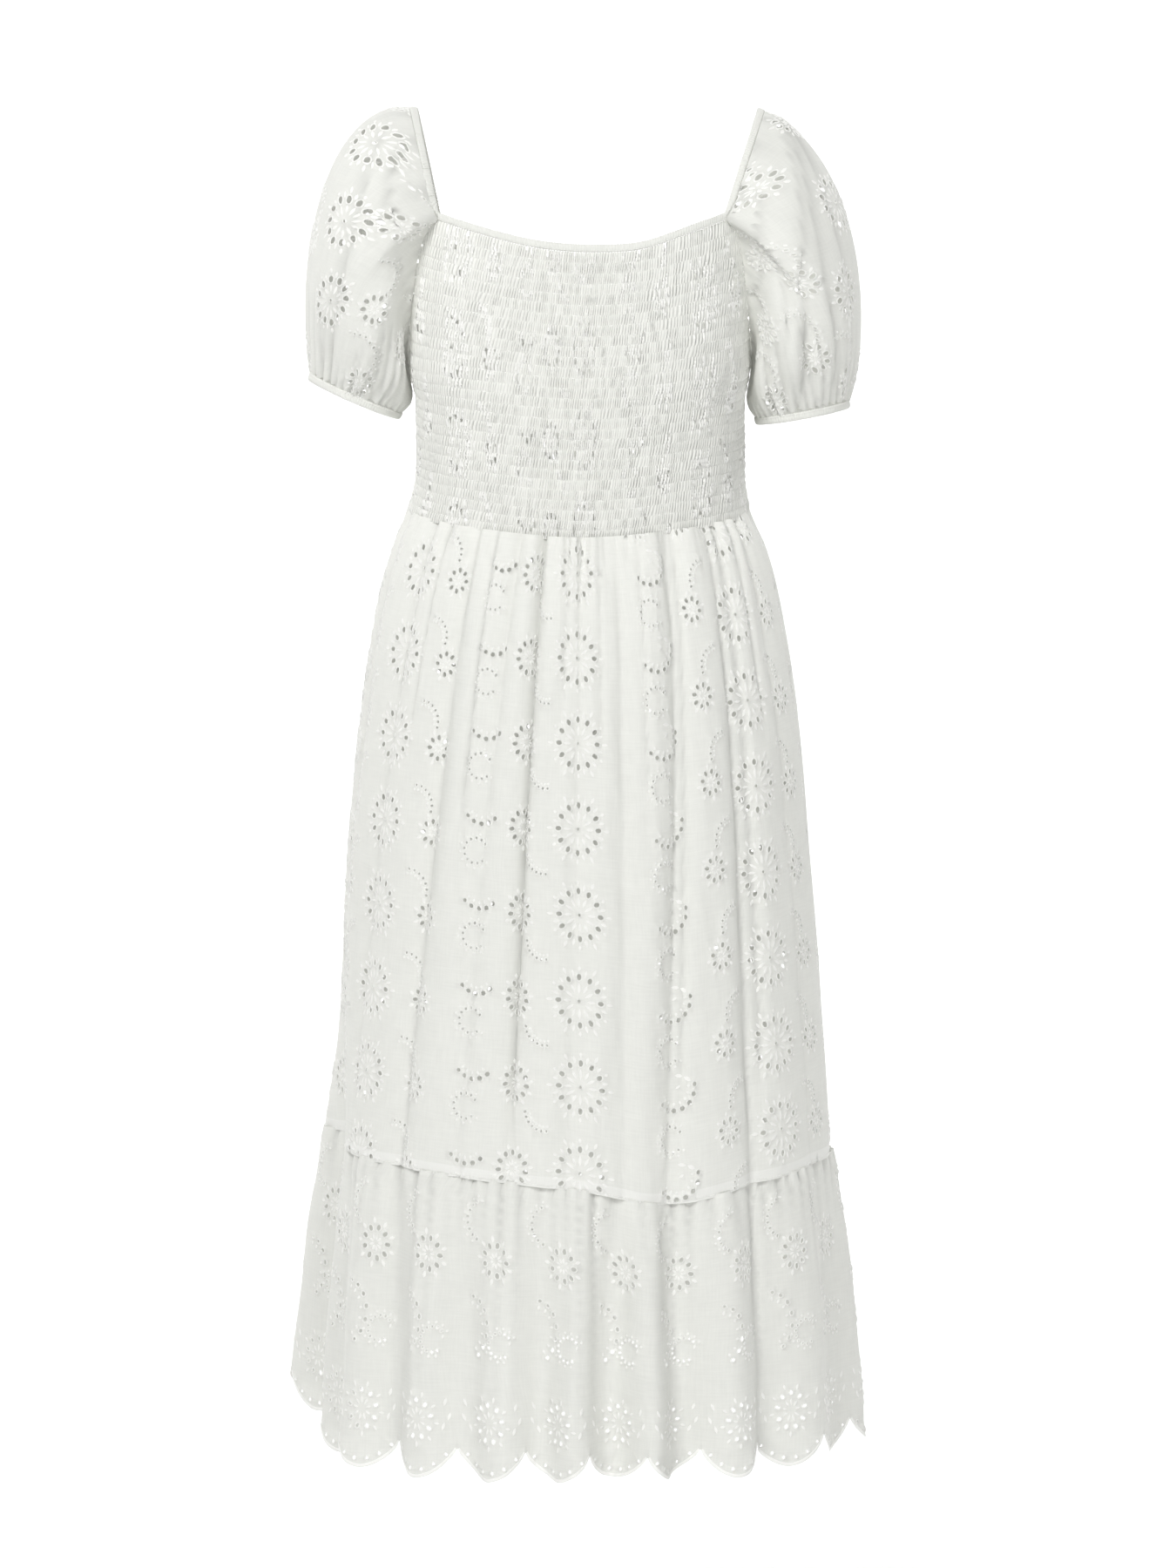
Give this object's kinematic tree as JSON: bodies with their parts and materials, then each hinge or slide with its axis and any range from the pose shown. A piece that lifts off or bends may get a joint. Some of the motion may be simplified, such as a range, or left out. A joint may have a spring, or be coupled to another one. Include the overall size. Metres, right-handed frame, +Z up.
{
  "type": "midi dress",
  "caption": "Square-neck midi dress in white eyelet cotton with a shirred bodice, short puff sleeves, a gathered skirt and a scalloped flounce.",
  "frame": {"origin": "midway between the tops of the two shoulders, where the dress is held up", "axes": "+Z up along the dress, -Y towards its back, +Y towards its front, +X to the right as seen from the back"},
  "size_m": [0.5332, 0.4131, 1.1989],
  "materials": {
    "shirred_cotton": "off-white eyelet cotton lawn, shirred in rows on elastic thread",
    "eyelet_cotton": "off-white cotton lawn with satin-stitched eyelet embroidery",
    "casing_cotton": "off-white cotton casing gathered over elastic"
  },
  "bodies": {
    "root": {"bodice_back": "shirred_cotton", "bodice_front": "shirred_cotton", "neck_casing": "casing_cotton", "sleeve_left_back": "eyelet_cotton", "sleeve_left_front": "eyelet_cotton", "sleeve_right_back": "eyelet_cotton", "sleeve_right_front": "eyelet_cotton", "cuff_left": "casing_cotton", "cuff_right": "casing_cotton", "skirt_back": "eyelet_cotton", "skirt_front": "eyelet_cotton", "flounce_back": "eyelet_cotton", "flounce_front": "eyelet_cotton"}
  },
  "joints": []
}
